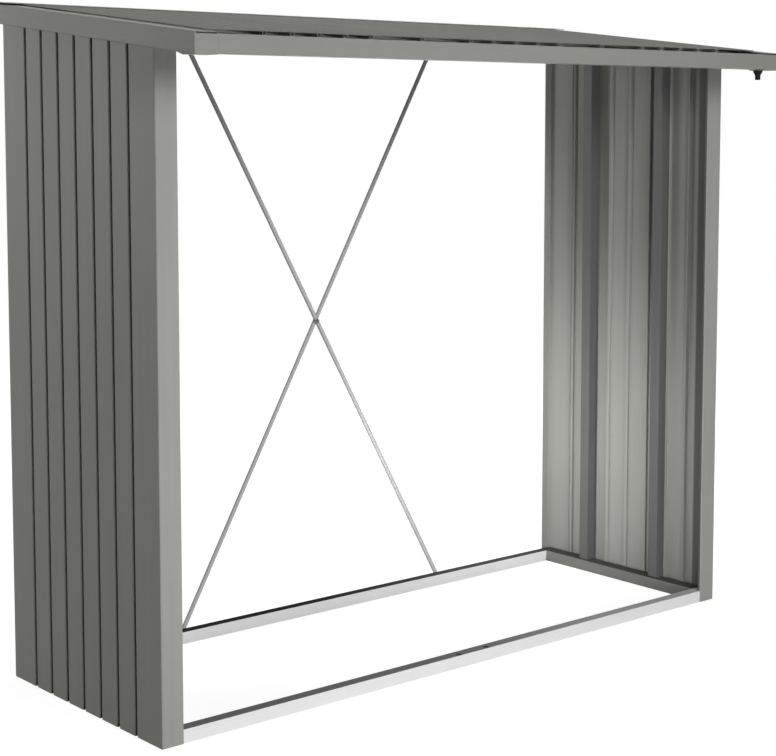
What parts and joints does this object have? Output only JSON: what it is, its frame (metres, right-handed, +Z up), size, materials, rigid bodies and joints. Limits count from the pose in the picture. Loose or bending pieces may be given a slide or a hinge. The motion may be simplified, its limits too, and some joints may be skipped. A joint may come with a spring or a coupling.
{
  "type": "log store",
  "caption": "Open-fronted log store of grey folded sheet: grooved side walls, sloping grooved roof, rain gutter with spout, base rails and a crossed rear brace.",
  "frame": {"origin": "middle of the plan, on the ground", "axes": "+X to the right seen from the open front, along the roof's width; +Y from the front to the rear; +Z up"},
  "size_m": [2.29, 1.02, 1.9896],
  "materials": {
    "grey_paint": "satin metallic grey paint on galvanised sheet",
    "zinc_steel": "plain galvanised",
    "bare_aluminium": "plain mill finish",
    "black_plastic": "matt moulded plastic"
  },
  "bodies": {
    "root": {"base_rail_front": "bare_aluminium", "base_rail_rear": "bare_aluminium", "base_rail_left": "grey_paint", "base_rail_right": "grey_paint", "corner_post_front_left": "grey_paint", "corner_post_front_right": "grey_paint", "corner_post_rear_left": "grey_paint", "corner_post_rear_right": "grey_paint", "side_wall_left": "grey_paint", "side_wall_right": "grey_paint", "wall_stiffener_front_left": "zinc_steel", "wall_stiffener_front_right": "zinc_steel", "wall_stiffener_rear_left": "zinc_steel", "wall_stiffener_rear_right": "zinc_steel", "wall_top_rail_left": "grey_paint", "wall_top_rail_right": "grey_paint", "rear_roof_beam": "grey_paint", "roof_panel_left": "grey_paint", "roof_panel_middle": "grey_paint", "roof_panel_right": "grey_paint", "verge_trim_left": "grey_paint", "verge_trim_right": "grey_paint", "rear_roof_trim": "grey_paint", "rain_gutter": "grey_paint", "gutter_end_cap_left": "grey_paint", "gutter_end_cap_right": "grey_paint", "drain_spout": "black_plastic", "cross_brace_outer": "zinc_steel", "cross_brace_inner": "zinc_steel"}
  },
  "joints": []
}
